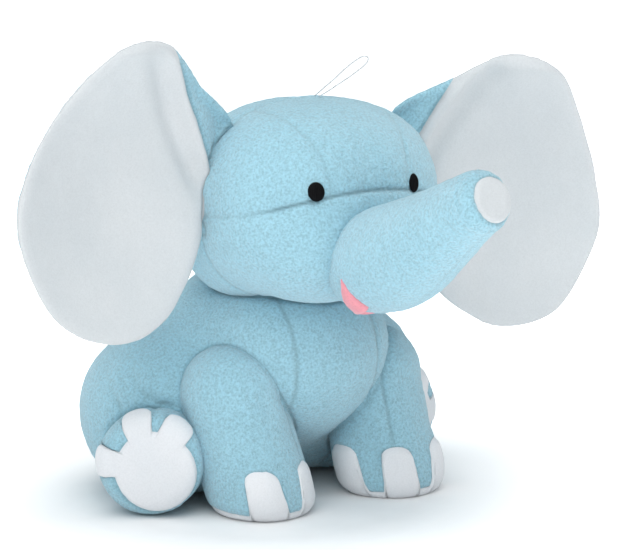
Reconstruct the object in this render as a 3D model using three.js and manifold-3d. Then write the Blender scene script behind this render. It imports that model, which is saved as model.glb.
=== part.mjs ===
// A stuffed toy elephant that sits on its rump, with its front legs standing in front of it and
// its hind legs stretched out beside them. Millimetres, +Z up. It faces -Y, its left side is +X,
// and the origin is on the floor, under the middle of the seat.
// Each fabric panel is a thin shell and each stuffed hollow holds one mass of stuffing. A limb
// ends in a round root that lies in a matching socket, and the socket is as wide as the limb's
// whole swing, so no piece meets its neighbour when a limb moves.

import * as THREE from "three";
import { ConvexGeometry } from "three/addons/geometries/ConvexGeometry.js";
import { mergeVertices } from "three/addons/utils/BufferGeometryUtils.js";
import Module from "manifold-3d";

const wasm = await Module();
wasm.setup();

const vec = (x, y, z) => new THREE.Vector3(x, y, z);
const radians = THREE.MathUtils.degToRad;
const X = vec(1, 0, 0);
const Y = vec(0, 1, 0);
const Z = vec(0, 0, 1);
const SIDES = { left: 1, right: -1 };
const nameOf = (side) => (side > 0 ? "left" : "right");

// ---- Driving dimensions ----

const FABRIC = 1.6; // fleece with its backing
const GAP = 0.3; // between pieces that lie against each other
const RUNNING_GAP = 0.6; // between a limb and what it moves against
const STUFFING_INSET = 2.8; // from the outside of the fabric to the stuffing
const BIG = 600; // side of a cutting block, larger than the toy

const HEAD = { centre: vec(0, -45, 152), radii: vec(65, 54, 52), low: 46.5, fullness: 2.4 };
const JOWL = { x: 26, y: -22, z: 127, radii: vec(27, 26, 22.5), blend: 14 };
const MUZZLE = { centre: vec(0, -72, 134), radii: vec(40, 30, 25.8), blend: 16 };
const FACE_BACK = -43; // Y of the seam that runs over the head from ear to ear
const CROWN = { halfWidth: 28, y: -70, taper: 0.19 }; // strip from the brow to the ear seam
const BROW = { z: 163, drop: 0.165 }; // the seam under the eyes falls towards the ears
const MOUTH = { top: 116, bottom: 105.6, halfWidth: 21, back: -52 };
const EYE = { x: 28.8, y: -92, z: 164.4, width: 8.3, height: 9.5, reach: 12 };
const TRIM = 1.1; // thickness of stitched trim: eyes and toenails

const CHEST = { centre: vec(0, -30, 73), radii: vec(52, 46, 45) };
const RUMP = { centre: vec(0, 8, 45), radii: vec(64, 43, 47), blend: 24 };
const THIGH = { x: 53, y: 5, z: 42, radius: 46 };
const NAPE = { centre: vec(0, 0, 88), radii: vec(44, 34, 32) };
const GUSSET = { halfWidth: 25, back: -8 };
const SEAT = { radius: 34, depth: 3 };

// The two front feet don't stand alike, nor do the two hind legs.
const FRONT_LEG = {
  pivots: { left: vec(41, -40, 57), right: vec(44, -40, 57) },
  foot: { left: vec(42, -58, 0), right: vec(36, -56, 0) },
  length: 57,
  rootRadius: 27,
  footRadius: 26.5,
  edge: 9,
  turn: { left: -20, right: -39 }, // the toes point inwards, measured from straight ahead
  nailSpread: 62,
};
const HIND_LEG = {
  pivots: { left: vec(46.5, 24.5, 26.8), right: vec(48, 11, 26.8) },
  length: 66,
  rootRadius: 26.5,
  footRadius: 26.2,
  edge: 9,
  turn: { left: 33, right: 42 }, // the legs point outwards, measured from straight ahead
  nailAngles: [-39, 13, 84], // from straight up towards its outer side
  soleRadius: 20.2,
  soleAside: 3.8, // the sole lies this far towards the other leg
  soleDown: 3,
  soleDepth: 8, // the sole's cut starts this far behind the foot's end
};
const NAIL = { width: 17, height: 20, reach: 8, inset: 11, standing: 10 }; // inset or height of its middle
const SOLE_BAND = 5; // height of the white band around a front foot

const TRUNK = {
  pivot: vec(0, -91, 131),
  bends: [vec(0, -118, 123), vec(0, -155, 158)],
  tip: vec(0, -187, 170),
  length: 105,
  rootRadius: 27,
  footRadius: 15,
  edge: 6,
  rings: 4, // sections along its bend
  capRadius: 10.4,
};

const EAR = {
  outline: [
    [43, 191], [58, 167], [66, 141], [76, 120], [96, 102.5], [126, 96], [156, 111],
    [170, 150], [162, 181], [143, 210], [118, 234], [90, 235], [68, 215],
  ],
  middle: [113, 163],
  rootTop: vec(43, -45, 191),
  rootBottom: vec(64, -45, 142),
  cup: 13, // how far the rim stands in front of the middle
  middleSag: 0.25, // the middle lies this share of the cup behind the root seam
  farthest: 1.4, // beyond this many middle widths the rim stands no further forward
  layers: { back: [0.9, 2.6], batting: [-1.1, 0.6], lining: [-3.1, -1.4] },
  rimPinch: 0.35, // the rim's thickness as a share of the middle's
  sweep: { left: 17, right: -2 }, // the two ears aren't turned alike, forwards
  droop: { left: 11.5, right: 0 }, // nor do they hang alike
  sectors: 24,
  rings: 3,
};

const TAIL = { root: vec(0, 49, 38), length: 26, radius: 4.5, tipShare: 0.8, edgeShare: 0.6, droop: 48 };
const TUFT = { radius: 6.5, beyond: 4.55 }; // its middle lies beyond the end of the tail

const LOOP = {
  diameter: 0.6,
  route: [
    [1.8, -47, 204.6], [6.4, -49, 208.8], [11, -51.2, 213], [15.2, -53.2, 217.3], [19.6, -55.6, 221.3],
    [23.4, -57.6, 223.8], [25.8, -58.9, 223.2], [25, -58.8, 220.6], [21.4, -57.2, 217.2],
    [16.8, -54.9, 213.5], [12, -52.7, 210.2], [7.4, -50.7, 207], [3.2, -48.9, 204.5],
  ],
  steps: 40,
  sides: 8,
};

const JOINTS = {
  head: { pivot: vec(0, -38, 92), axis: X, range: [-8, 8] },
  trunk: { pivot: TRUNK.pivot, axis: X, range: [-12, 12] },
  tail: { pivot: TAIL.root, axis: X, range: [-10, 25] },
  front_leg: { range: [-8, 20] },
  hind_leg: { range: [-5, 12] },
  ear: { left: [-28, 12], right: [-14, 28] },
};
const SWEEP_STEP = 14; // degrees between the poses that a clearance is made of

// How finely each kind of form is faceted. A coarse one stands in for the room that a form needs.
const OUTSIDE = { offset: 0, segments: 14, divisions: 2, detail: 4 };
const INSIDE = { offset: -FABRIC, segments: 10, divisions: 2, detail: 2 };
const STUFFING = { ...INSIDE, offset: -STUFFING_INSET };
const COARSENESS = 1.9; // how far a coarse form's facets may lie inside a fine one
const ROOM = { offset: RUNNING_GAP + COARSENESS, segments: 10, divisions: 2, detail: 2 };
const NAILED_ROOM = { ...ROOM, offset: ROOM.offset + GAP + TRIM }; // for a leg with its toenails
const HEAD_ROOM = { ...ROOM, detail: 3 }; // the head is too full at its corners for a coarser one
const TAIL_SEGMENTS = 10;
const ROD_SIDES = 16;
const proud = (offset) => ({ ...OUTSIDE, offset });

// ---- Materials ----

const fleece = { color: 0xa9d3dd, roughness: 0.95, metalness: 0 };
const velour = { color: 0xe6eaee, roughness: 0.9, metalness: 0 };
const pink = { color: 0xe79aa6, roughness: 0.9, metalness: 0 };
const thread = { color: 0x111214, roughness: 0.6, metalness: 0 };
const fibre = { color: 0xf2f2ee, roughness: 1, metalness: 0 };
const nylon = { color: 0xe9eef0, roughness: 0.2, metalness: 0 };

// ---- Solids ----

function closed(geometry) {
  geometry.deleteAttribute("normal");
  geometry.deleteAttribute("uv");
  const merged = mergeVertices(geometry, 1e-3);
  const source = merged.index.array;
  const kept = [];
  for (let i = 0; i < source.length; i += 3) {
    const [a, b, c] = source.slice(i, i + 3);
    if (a !== b && b !== c && c !== a) kept.push(a, b, c);
  }
  merged.setIndex(kept);
  return merged;
}

function signedVolume(geometry) {
  const position = geometry.getAttribute("position");
  const index = geometry.index.array;
  let volume = 0;
  for (let i = 0; i < index.length; i += 3) {
    const [a, b, c] = [0, 1, 2].map((k) => vec(0, 0, 0).fromBufferAttribute(position, index[i + k]));
    volume += a.dot(b.cross(c)) / 6;
  }
  return volume;
}

function solid(geometry) {
  const source = geometry.index.array;
  const order = signedVolume(geometry) < 0 ? [0, 2, 1] : [0, 1, 2];
  const triVerts = new Uint32Array(source.length);
  for (let i = 0; i < source.length; i += 1) {
    triVerts[i] = source[i - (i % 3) + order[i % 3]];
  }
  const vertProperties = new Float32Array(geometry.getAttribute("position").array);
  return new wasm.Manifold(new wasm.Mesh({ numProp: 3, vertProperties, triVerts }));
}

function warped(geometry, place) {
  const result = geometry.clone();
  const position = result.getAttribute("position");
  for (let i = 0; i < position.count; i += 1) {
    const point = place(vec(0, 0, 0).fromBufferAttribute(position, i));
    position.setXYZ(i, point.x, point.y, point.z);
  }
  return result;
}

function turned(geometry, joint, degrees) {
  const { pivot, axis } = joint;
  return warped(geometry, (p) => p.sub(pivot).applyAxisAngle(axis, radians(degrees)).add(pivot));
}

// A shape in every pose of the given joints, each of which moves it over its own range.
function poses(geometry, joints) {
  if (joints.length === 0) return [geometry];
  const [joint, ...rest] = joints;
  const [low, high] = joint.range;
  const steps = Math.max(1, Math.ceil((high - low) / SWEEP_STEP));
  return Array.from({ length: steps + 1 }, (_, i) => low + ((high - low) * i) / steps).flatMap(
    (degrees) => poses(turned(geometry, joint, degrees), rest),
  );
}

// The smallest convex room that holds a shape in all its joints' poses.
function swept(geometry, joints) {
  const points = poses(geometry, joints).flatMap((pose) => {
    const position = pose.getAttribute("position");
    return Array.from({ length: position.count }, (_, i) => vec(0, 0, 0).fromBufferAttribute(position, i));
  });
  return solid(closed(new ConvexGeometry(points)));
}

// The same joint seen from the piece that it moves.
const reversed = (joint) => ({ ...joint, range: [-joint.range[1], -joint.range[0]] });

// A block that fills everything on the side of a plane that its normal points to.
function halfSpace(point, normal, gap = 0) {
  const block = closed(new THREE.BoxGeometry(BIG, BIG, BIG));
  const turn = new THREE.Quaternion().setFromUnitVectors(Z, normal.clone().normalize());
  const middle = BIG / 2 + gap;
  return solid(warped(block, (p) => p.add(vec(0, 0, middle)).applyQuaternion(turn).add(point)));
}

const keepBehind = (body, point, normal) => body.subtract(halfSpace(point, normal, -GAP / 2));
const keepBeyond = (body, point, normal) => keepBehind(body, point, normal.clone().negate());

function rod(start, direction, radius, length) {
  const cylinder = closed(new THREE.CylinderGeometry(radius, radius, length, ROD_SIDES));
  const turn = new THREE.Quaternion().setFromUnitVectors(Y, direction.clone().normalize());
  const place = (p) => p.add(vec(0, length / 2, 0)).applyQuaternion(turn).add(start);
  return solid(warped(cylinder, place));
}

// Only the largest of the separate bodies that a cut leaves.
function mainBody(body) {
  const mesh = body.getMesh();
  const parent = Array.from({ length: mesh.numVert }, (_, i) => i);
  const root = (i) => {
    let top = i;
    while (parent[top] !== top) top = parent[top];
    parent[i] = top;
    return top;
  };
  const triangles = mesh.triVerts;
  for (let i = 0; i < triangles.length; i += 3) {
    parent[root(triangles[i + 1])] = root(triangles[i]);
    parent[root(triangles[i + 2])] = root(triangles[i]);
  }
  const counts = new Map();
  for (let i = 0; i < triangles.length; i += 3) {
    const name = root(triangles[i]);
    counts.set(name, (counts.get(name) ?? 0) + 1);
  }
  const [largest] = [...counts.entries()].sort((a, b) => b[1] - a[1])[0];
  const kept = [];
  for (let i = 0; i < triangles.length; i += 3) {
    if (root(triangles[i]) === largest) kept.push(...triangles.slice(i, i + 3));
  }
  const geometry = new THREE.BufferGeometry();
  const positions = new Float32Array(kept.length * 3);
  kept.forEach((vertex, i) => {
    positions.set(mesh.vertProperties.slice(vertex * mesh.numProp, vertex * mesh.numProp + 3), i * 3);
  });
  geometry.setAttribute("position", new THREE.BufferAttribute(positions, 3));
  return geometry;
}

// ---- Rounded forms, as distances from a surface ----

// A fullness of 2 is a plain ellipsoid, and a larger one fills its corners out. The low radius
// is the height of its lower half.
const ellipsoid = ({ centre, radii: full, fullness = 2, low = full.z }) => (p) => {
  const radii = p.z < centre.z ? vec(full.x, full.y, low) : full;
  const out = ["x", "y", "z"].map((axis) => Math.abs(p[axis] - centre[axis]) / radii[axis]);
  const near = out.reduce((sum, share) => sum + share ** fullness, 0) ** (1 / fullness);
  const [x, y, z] = out.map((share) => share ** (fullness - 1));
  const slope = Math.hypot(x / radii.x, y / radii.y, z / radii.z);
  const inside = -Math.min(radii.x, radii.y, radii.z);
  return slope > 0 ? ((near - 1) * near ** (fullness - 1)) / slope : inside;
};

const smoothUnion = (a, b, blend) => (p) => {
  const [first, second] = [a(p), b(p)];
  const overlap = Math.max(blend - Math.abs(first - second), 0) / blend;
  return Math.min(first, second) - (overlap * overlap * blend) / 4;
};

// A closed form around a centre, as far out along each ray as the distance reaches the offset.
function rounded(centre, distance, { offset, detail }) {
  const sphere = closed(new THREE.IcosahedronGeometry(1, detail));
  return warped(sphere, (p) => {
    const ray = p.normalize();
    let [low, high] = [0, BIG];
    while (high - low > 1e-4) {
      const middle = (low + high) / 2;
      if (distance(centre.clone().addScaledVector(ray, middle)) < offset) low = middle;
      else high = middle;
    }
    return centre.clone().addScaledVector(ray, low);
  });
}

// A limb's section: round at its root, straight to the foot, and flat with a round edge there.
function limbForm(limb, { offset, segments, divisions }) {
  const { length, rootRadius, footRadius, edge, rings = 0 } = limb;
  const side = new THREE.Path();
  side.absarc(0, 0, rootRadius + offset, -Math.PI / 2, 0, false);
  for (let i = 1; i <= rings; i += 1) {
    const share = i / (rings + 1);
    const radius = THREE.MathUtils.lerp(rootRadius, footRadius, share);
    side.lineTo(radius + offset, (length - edge) * share);
  }
  side.absarc(footRadius - edge, length - edge, edge + offset, 0, Math.PI / 2, false);
  side.lineTo(0, length + offset);
  const points = side.getPoints(divisions);
  points[0].x = 0;
  return closed(new THREE.LatheGeometry(points, segments));
}

// ---- The joints ----

const heading = (side, degrees) => {
  const angle = radians(degrees);
  return vec(side * Math.sin(angle), -Math.cos(angle), 0);
};

// A limb's pivot is given for the left side's X, whichever side it is on.
const rootOf = (limb, side) => limb.pivots[nameOf(side)].clone().multiply(vec(side, 1, 1));

const frontLegJoint = (side) => ({
  pivot: rootOf(FRONT_LEG, side),
  axis: vec(-1, 0, 0),
  range: JOINTS.front_leg.range,
});

// The hind leg lifts about a level axis across the leg.
function hindLegJoint(side) {
  const axis = heading(side, HIND_LEG.turn[nameOf(side)]).cross(Z);
  return { pivot: rootOf(HIND_LEG, side), axis, range: JOINTS.hind_leg.range };
}

// The ear swings about its root seam, which leans outwards down the side of the head.
function earJoint(name) {
  const side = SIDES[name];
  const top = vec(EAR.rootTop.x * side, EAR.rootTop.y, EAR.rootTop.z);
  const bottom = vec(EAR.rootBottom.x * side, EAR.rootBottom.y, EAR.rootBottom.z);
  const axis = top.clone().sub(bottom).normalize();
  return { pivot: top.add(bottom).multiplyScalar(0.5), axis, range: JOINTS.ear[name] };
}

// ---- The limbs' forms, placed ----

const footOf = (side) => FRONT_LEG.foot[nameOf(side)].clone().multiply(vec(side, 1, 1));

function frontLegForm(side, style = OUTSIDE) {
  const root = rootOf(FRONT_LEG, side);
  const lean = footOf(side).sub(root).divideScalar(FRONT_LEG.length);
  return warped(limbForm(FRONT_LEG, style), (p) => {
    const along = p.y < 0 ? vec(0, 0, -p.y) : lean.clone().multiplyScalar(p.y);
    return along.add(root).add(vec(p.x, p.z, 0));
  });
}

function hindLegForm(side, style = OUTSIDE) {
  const ahead = heading(side, HIND_LEG.turn[nameOf(side)]);
  const across = ahead.clone().cross(Z);
  return warped(limbForm(HIND_LEG, style), (p) =>
    rootOf(HIND_LEG, side)
      .addScaledVector(ahead, p.y)
      .addScaledVector(across, p.x)
      .addScaledVector(Z, p.z),
  );
}

const trunkLine = new THREE.CubicBezierCurve3(TRUNK.pivot, ...TRUNK.bends, TRUNK.tip);

function trunkForm(style = OUTSIDE) {
  const start = trunkLine.getTangentAt(0);
  return warped(limbForm(TRUNK, style), (p) => {
    const share = THREE.MathUtils.clamp(p.y / TRUNK.length, 0, 1);
    const along = share > 0 ? trunkLine.getTangentAt(share) : start;
    const middle = trunkLine.getPointAt(share).addScaledVector(along, p.y - share * TRUNK.length);
    return middle.addScaledVector(X, p.x).addScaledVector(along.clone().cross(X), -p.z);
  });
}

const tailHeading = vec(0, Math.cos(radians(TAIL.droop)), -Math.sin(radians(TAIL.droop)));

function tailForm(style = OUTSIDE) {
  const { root, length, radius, tipShare, edgeShare } = TAIL;
  const size = { length, rootRadius: radius, footRadius: radius * tipShare, edge: radius * edgeShare };
  const across = tailHeading.clone().cross(X);
  return warped(limbForm(size, { ...style, segments: TAIL_SEGMENTS }), (p) =>
    root.clone().addScaledVector(tailHeading, p.y).addScaledVector(X, p.x).addScaledVector(across, p.z),
  );
}

const jowls = Object.values(SIDES).map((side) => {
  const { x, y, z, radii } = JOWL;
  return ellipsoid({ centre: vec(x * side, y, z), radii });
});
const headDistance = jowls.reduce(
  (head, form) => smoothUnion(head, form, JOWL.blend),
  smoothUnion(ellipsoid(HEAD), ellipsoid(MUZZLE), MUZZLE.blend),
);
const headForm = (style = OUTSIDE) => rounded(HEAD.centre, headDistance, style);

const thighs = Object.values(SIDES).map((side) => {
  const { x, y, z, radius } = THIGH;
  return ellipsoid({ centre: vec(x * side, y, z), radii: vec(radius, radius, radius) });
});
const torsoDistance = [ellipsoid(RUMP), ...thighs, ellipsoid(NAPE)].reduce(
  (body, form) => smoothUnion(body, form, RUMP.blend),
  ellipsoid(CHEST),
);
const TORSO_MIDDLE = vec(0, -8, 52);
const torsoForm = (style = OUTSIDE) => rounded(TORSO_MIDDLE, torsoDistance, style);

// ---- The group ----

const elephant = new THREE.Group();
elephant.name = "stuffed_elephant";

function addPiece(name, body, material) {
  const geometry = body.isBufferGeometry ? body : mainBody(body);
  geometry.computeVertexNormals();
  const mesh = new THREE.Mesh(geometry, new THREE.MeshStandardMaterial(material));
  mesh.name = name;
  elephant.add(mesh);
}

// ---- Torso ----

function torso() {
  const floor = halfSpace(vec(0, 0, 0), vec(0, 0, -1));
  const headRoom = swept(headForm(HEAD_ROOM), [JOINTS.head]);
  const rooms = [headRoom, floor, swept(tailForm(ROOM), [JOINTS.tail])];
  for (const side of Object.values(SIDES)) {
    rooms.push(swept(frontLegForm(side, ROOM), [frontLegJoint(side)]));
    rooms.push(swept(hindLegForm(side, NAILED_ROOM), [hindLegJoint(side)]));
  }
  const carved = (body) => rooms.reduce((rest, room) => rest.subtract(room), body);
  const hollow = solid(torsoForm(INSIDE)).subtract(halfSpace(vec(0, 0, FABRIC), vec(0, 0, -1)));
  const skin = carved(solid(torsoForm()).subtract(hollow));

  const seat = rod(vec(0, 0, -SEAT.depth), Z, SEAT.radius, SEAT.depth * 2);
  const seatRoom = rod(vec(0, 0, -SEAT.depth), Z, SEAT.radius + GAP, SEAT.depth * 2 + GAP);
  addPiece("seat_panel", skin.intersect(seat), fleece);

  const upper = skin.subtract(seatRoom);
  const { halfWidth, back } = GUSSET;
  const front = keepBehind(upper, vec(0, back, 0), Y);
  const leftEdge = keepBehind(front, vec(halfWidth, 0, 0), X);
  addPiece("chest_gusset", keepBeyond(leftEdge, vec(-halfWidth, 0, 0), X), fleece);

  const gussetRoom = halfSpace(vec(0, back, 0), vec(0, -1, 0), -GAP / 2)
    .intersect(halfSpace(vec(halfWidth, 0, 0), vec(-1, 0, 0), -GAP / 2))
    .intersect(halfSpace(vec(-halfWidth, 0, 0), X, -GAP / 2));
  const flanks = upper.subtract(gussetRoom);
  addPiece("torso_left_panel", keepBeyond(flanks, vec(0, 0, 0), X), fleece);
  addPiece("torso_right_panel", keepBehind(flanks, vec(0, 0, 0), X), fleece);

  const stuffing = solid(torsoForm(STUFFING));
  const raised = stuffing.subtract(halfSpace(vec(0, 0, STUFFING_INSET), vec(0, 0, -1)));
  addPiece("torso_stuffing", carved(raised), fibre);
}

// ---- Head ----

// A thin patch that lies on a form where a tool meets it.
const patch = (form, tool) =>
  solid(form(proud(GAP + TRIM)))
    .subtract(solid(form(proud(GAP))))
    .intersect(tool);

function ovalTool(centre, ahead, width, height, depth) {
  const turn = new THREE.Quaternion().setFromUnitVectors(Y, ahead.clone().normalize());
  const sphere = closed(new THREE.SphereGeometry(1, 10, 5));
  const size = vec(width / 2, depth, height / 2);
  return solid(warped(sphere, (p) => p.multiply(size).applyQuaternion(turn).add(centre)));
}

function head() {
  const trunkRoom = swept(trunkForm(ROOM), [JOINTS.trunk]);
  const skin = solid(headForm()).subtract(solid(headForm(INSIDE))).subtract(trunkRoom);
  const seam = vec(0, FACE_BACK, 0);
  const face = keepBehind(skin, seam, Y);
  const back = keepBeyond(skin, seam, Y);
  addPiece("head_back_left", keepBeyond(back, vec(0, 0, 0), X), fleece);
  addPiece("head_back_right", keepBehind(back, vec(0, 0, 0), X), fleece);

  const crownEdge = (side) => [vec(CROWN.halfWidth * side, CROWN.y, 0), vec(side, -CROWN.taper, 0)];
  const browLine = (side) => [vec(0, 0, BROW.z), vec(BROW.drop * side, 0, 1)];
  for (const [name, side] of Object.entries(SIDES)) {
    const half = keepBeyond(face, vec(0, 0, 0), vec(side, 0, 0));
    const above = keepBeyond(half, ...browLine(side));
    const below = keepBehind(half, ...browLine(side));
    addPiece(`forehead_${name}`, keepBeyond(above, ...crownEdge(side)), fleece);
    const mouthRoom = halfSpace(vec(0, MOUTH.back, 0), vec(0, -1, 0), -GAP / 2)
      .intersect(halfSpace(vec(0, 0, MOUTH.top), vec(0, 0, -1), -GAP / 2))
      .intersect(halfSpace(vec(MOUTH.halfWidth * side, 0, 0), vec(-side, 0, 0), -GAP / 2));
    addPiece(`cheek_${name}`, below.subtract(mouthRoom), fleece);
  }
  let crown = face;
  for (const side of Object.values(SIDES)) crown = keepBehind(crown, ...crownEdge(side));
  addPiece("crown_gusset", keepBeyond(crown, vec(0, 0, BROW.z), Z), fleece);

  let lower = keepBehind(skin, vec(0, MOUTH.back, 0), Y);
  lower = keepBehind(lower, vec(0, 0, MOUTH.top), Z);
  for (const side of Object.values(SIDES)) {
    lower = keepBehind(lower, vec(MOUTH.halfWidth * side, 0, 0), vec(side, 0, 0));
  }
  const lip = [vec(0, 0, MOUTH.bottom), Z];
  addPiece("mouth_lining", keepBeyond(lower, ...lip), pink);
  addPiece("chin_panel", keepBehind(lower, ...lip), fleece);
  addPiece("head_stuffing", solid(headForm(STUFFING)).subtract(trunkRoom), fibre);

  for (const [name, side] of Object.entries(SIDES)) {
    const place = vec(EYE.x * side, EYE.y, EYE.z);
    const tool = ovalTool(place, Y, EYE.width, EYE.height, EYE.reach);
    addPiece(`eye_${name}`, patch(headForm, tool), thread);
  }

  const route = new THREE.CatmullRomCurve3(LOOP.route.map((point) => vec(...point)));
  const section = Array.from({ length: LOOP.sides }, (_, i) => {
    const angle = (i * 2 * Math.PI) / LOOP.sides;
    return new THREE.Vector2(Math.cos(angle), Math.sin(angle)).multiplyScalar(LOOP.diameter / 2);
  });
  const options = { steps: LOOP.steps, extrudePath: route };
  const loop = new THREE.ExtrudeGeometry(new THREE.Shape(section), options);
  addPiece("hang_loop", solid(closed(loop)), nylon);
}

// ---- Trunk ----

function trunk() {
  const skin = solid(trunkForm()).subtract(solid(trunkForm(INSIDE)));
  const end = trunkLine.getTangentAt(1);
  const start = TRUNK.tip.clone().addScaledVector(end, -TRUNK.edge - FABRIC);
  const capDepth = TRUNK.edge * 3;
  const cap = rod(start, end, TRUNK.capRadius, capDepth);
  const capRoom = rod(start.addScaledVector(end, -GAP), end, TRUNK.capRadius + GAP, capDepth);
  addPiece("trunk_tip", skin.intersect(cap), velour);
  const tube = skin.subtract(capRoom);
  addPiece("trunk_left_panel", keepBeyond(tube, vec(0, 0, 0), X), fleece);
  addPiece("trunk_right_panel", keepBehind(tube, vec(0, 0, 0), X), fleece);
  addPiece("trunk_stuffing", solid(trunkForm(STUFFING)), fibre);
}

// ---- Ears ----

// One layer of an ear as a closed leaf, between two distances behind the ear's middle surface.
function earLayer(name, [front, back], offset = 0) {
  const side = SIDES[name];
  const [middleX, middleZ] = EAR.middle;
  const rim = new THREE.CatmullRomCurve3(EAR.outline.map(([x, z]) => vec(x, 0, z)), true);
  const positions = [];
  const index = [];
  const place = (share, ring, depth) => {
    const edge = rim.getPoint(share);
    const out = ring / EAR.rings;
    const x = THREE.MathUtils.lerp(middleX, edge.x, out);
    const z = THREE.MathUtils.lerp(middleZ, edge.z, out);
    const spread = Math.hypot(x - middleX, z - middleZ) / (middleX - EAR.rootBottom.x);
    const rootShare = THREE.MathUtils.smoothstep(x, EAR.rootTop.x, middleX);
    const cup = EAR.cup * rootShare * (Math.min(spread, EAR.farthest) ** 2 - EAR.middleSag);
    const thin = 1 - (1 - EAR.rimPinch) * out ** 4;
    positions.push(x * side, HEAD.centre.y - cup + depth * thin, z);
  };
  for (const depth of [front - offset, back + offset]) {
    place(0, 0, depth);
    for (let ring = 1; ring <= EAR.rings; ring += 1) {
      for (let i = 0; i < EAR.sectors; i += 1) place(i / EAR.sectors, ring, depth);
    }
  }
  const perFace = 1 + EAR.rings * EAR.sectors;
  const inRing = (ring, i) => (ring ? 1 + (ring - 1) * EAR.sectors + (i % EAR.sectors) : 0);
  const at = (face, ring, i) => face * perFace + inRing(ring, i);
  const quad = (a, b, c, d) => index.push(a, b, c, a, c, d);
  for (let i = 0; i < EAR.sectors; i += 1) {
    index.push(at(0, 0, 0), at(0, 1, i), at(0, 1, i + 1));
    index.push(at(1, 0, 0), at(1, 1, i + 1), at(1, 1, i));
    for (let ring = 1; ring < EAR.rings; ring += 1) {
      quad(at(0, ring, i), at(0, ring + 1, i), at(0, ring + 1, i + 1), at(0, ring, i + 1));
      quad(at(1, ring, i), at(1, ring, i + 1), at(1, ring + 1, i + 1), at(1, ring + 1, i));
    }
    quad(at(0, EAR.rings, i), at(1, EAR.rings, i), at(1, EAR.rings, i + 1), at(0, EAR.rings, i + 1));
  }
  const geometry = new THREE.BufferGeometry();
  geometry.setAttribute("position", new THREE.Float32BufferAttribute(positions, 3));
  geometry.setIndex(index);
  const joint = earJoint(name);
  const drooped = turned(geometry, { pivot: joint.pivot, axis: Y }, side * EAR.droop[name]);
  return turned(drooped, joint, -side * EAR.sweep[name]);
}

function ear(name) {
  const joint = earJoint(name);
  const headRoom = poses(headForm(ROOM), [reversed(joint)])
    .map(solid)
    .reduce((room, pose) => room.add(pose));
  const materials = { back: fleece, batting: fibre, lining: velour };
  for (const [layer, depths] of Object.entries(EAR.layers)) {
    const body = solid(earLayer(name, depths)).subtract(headRoom);
    addPiece(`ear_${layer}_${name}`, body, materials[layer]);
  }
}

// ---- Legs ----

// Three nails around the toe end of a foot, at even angles about its middle direction.
function nails(name, form, placeTool, room) {
  ["inner", "middle", "outer"].forEach((place, i) => {
    const body = patch(form, placeTool(i - 1)).subtract(room);
    addPiece(`${name}_${place}_nail`, body, velour);
  });
}

function frontLeg(name) {
  const side = SIDES[name];
  const { turn, nailSpread, footRadius } = FRONT_LEG;
  const form = (style) => frontLegForm(side, style);
  const skin = solid(form(OUTSIDE)).subtract(solid(form(INSIDE)));
  const band = [vec(0, 0, SOLE_BAND), Z];
  const label = `front_leg_${name}`;
  addPiece(`${label}_sole`, keepBehind(skin, ...band), velour);
  const tube = keepBeyond(skin, ...band);
  const middle = footOf(side);
  const across = heading(side, turn[name]).cross(Z).multiplyScalar(side);
  addPiece(`${label}_outer_panel`, keepBeyond(tube, middle, across), fleece);
  addPiece(`${label}_inner_panel`, keepBehind(tube, middle, across), fleece);
  addPiece(`${label}_stuffing`, solid(form(STUFFING)), fibre);
  const tool = (step) => {
    const ahead = heading(side, turn[name] + step * nailSpread);
    const centre = middle.clone().addScaledVector(ahead, footRadius).setZ(NAIL.standing);
    return ovalTool(centre, ahead, NAIL.width, NAIL.height, NAIL.reach);
  };
  nails(label, form, tool, halfSpace(vec(0, 0, GAP), vec(0, 0, -1)));
}

function hindLeg(name) {
  const side = SIDES[name];
  const { turn, length, footRadius, soleRadius, soleDepth, nailAngles } = HIND_LEG;
  const form = (style) => hindLegForm(side, style);
  const ahead = heading(side, turn[name]);
  const across = ahead.clone().cross(Z).multiplyScalar(side);
  const stander = frontLegForm(side, ROOM);
  const room = swept(stander, [frontLegJoint(side), reversed(hindLegJoint(side))]);
  const skin = solid(form(OUTSIDE)).subtract(solid(form(INSIDE))).subtract(room);
  const root = rootOf(HIND_LEG, side);
  const label = `hind_leg_${name}`;
  const soleStart = root
    .clone()
    .addScaledVector(ahead, length - soleDepth)
    .addScaledVector(across, HIND_LEG.soleAside)
    .addScaledVector(Z, -HIND_LEG.soleDown);
  addPiece(`${label}_sole`, skin.intersect(rod(soleStart, ahead, soleRadius, soleDepth * 2)), velour);
  const soleRoom = rod(soleStart.addScaledVector(ahead, -GAP), ahead, soleRadius + GAP, soleDepth * 2);
  const tube = skin.subtract(soleRoom);
  addPiece(`${label}_outer_panel`, keepBehind(tube, root, across), fleece);
  addPiece(`${label}_inner_panel`, keepBeyond(tube, root, across), fleece);
  addPiece(`${label}_stuffing`, solid(form(STUFFING)).subtract(room), fibre);
  const tool = (step) => {
    const angle = radians(nailAngles[step + 1]);
    const up = Z.clone().multiplyScalar(Math.cos(angle)).addScaledVector(across, -Math.sin(angle));
    const centre = root.clone().addScaledVector(ahead, length - NAIL.inset);
    return ovalTool(centre.addScaledVector(up, footRadius), up, NAIL.width, NAIL.height, NAIL.reach);
  };
  nails(label, form, tool, room);
}

// ---- Tail ----

function tail() {
  addPiece("tail", solid(tailForm()), fleece);
  const centre = TAIL.root.clone().addScaledVector(tailHeading, TAIL.length + TUFT.beyond);
  const ball = closed(new THREE.SphereGeometry(TUFT.radius, 10, 6));
  const form = warped(ball, (p) => p.add(centre));
  addPiece("tail_tuft", solid(form).subtract(solid(tailForm(proud(GAP)))), velour);
}

torso();
head();
trunk();
for (const name of Object.keys(SIDES)) {
  ear(name);
  frontLeg(name);
  hindLeg(name);
}
tail();

export default elephant;
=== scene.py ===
import bmesh
import bpy
import numpy as np
from mathutils import Matrix, Vector


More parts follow.
